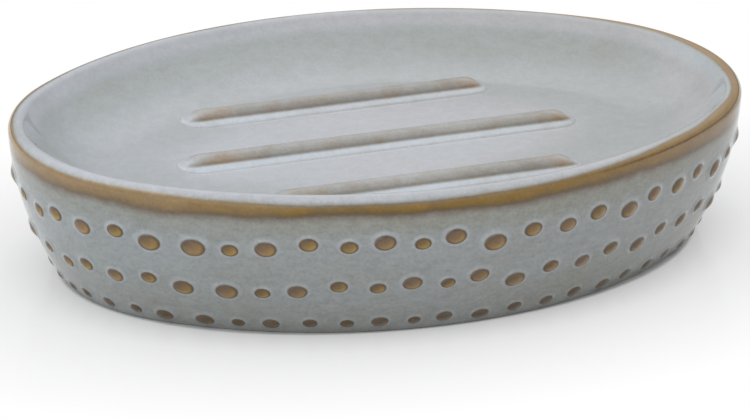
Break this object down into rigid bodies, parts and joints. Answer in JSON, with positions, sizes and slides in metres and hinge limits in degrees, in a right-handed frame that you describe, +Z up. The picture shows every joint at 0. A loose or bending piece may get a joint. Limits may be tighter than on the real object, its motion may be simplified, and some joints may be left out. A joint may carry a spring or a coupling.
{
  "type": "soap dish",
  "caption": "Oval glazed stoneware soap dish with a shallow bowl, low rounded ribs on its floor and rows of raised dots round its outward-curving wall.",
  "frame": {"origin": "Middle of the footprint, on the table that the dish stands on", "axes": "+X along the dish's length, +Y from the front to the back, +Z up"},
  "size_m": [0.14, 0.105, 0.029],
  "materials": {
    "body_glaze": "gloss",
    "rib_glaze": "gloss",
    "dot_glaze": "gloss"
  },
  "bodies": {
    "root": {"dish_body": "body_glaze", "soap_ridge_back": "rib_glaze", "soap_ridge_middle": "rib_glaze", "soap_ridge_front": "rib_glaze", "dot_row_upper": "dot_glaze", "dot_row_middle": "dot_glaze", "dot_row_lower": "dot_glaze"}
  },
  "joints": []
}
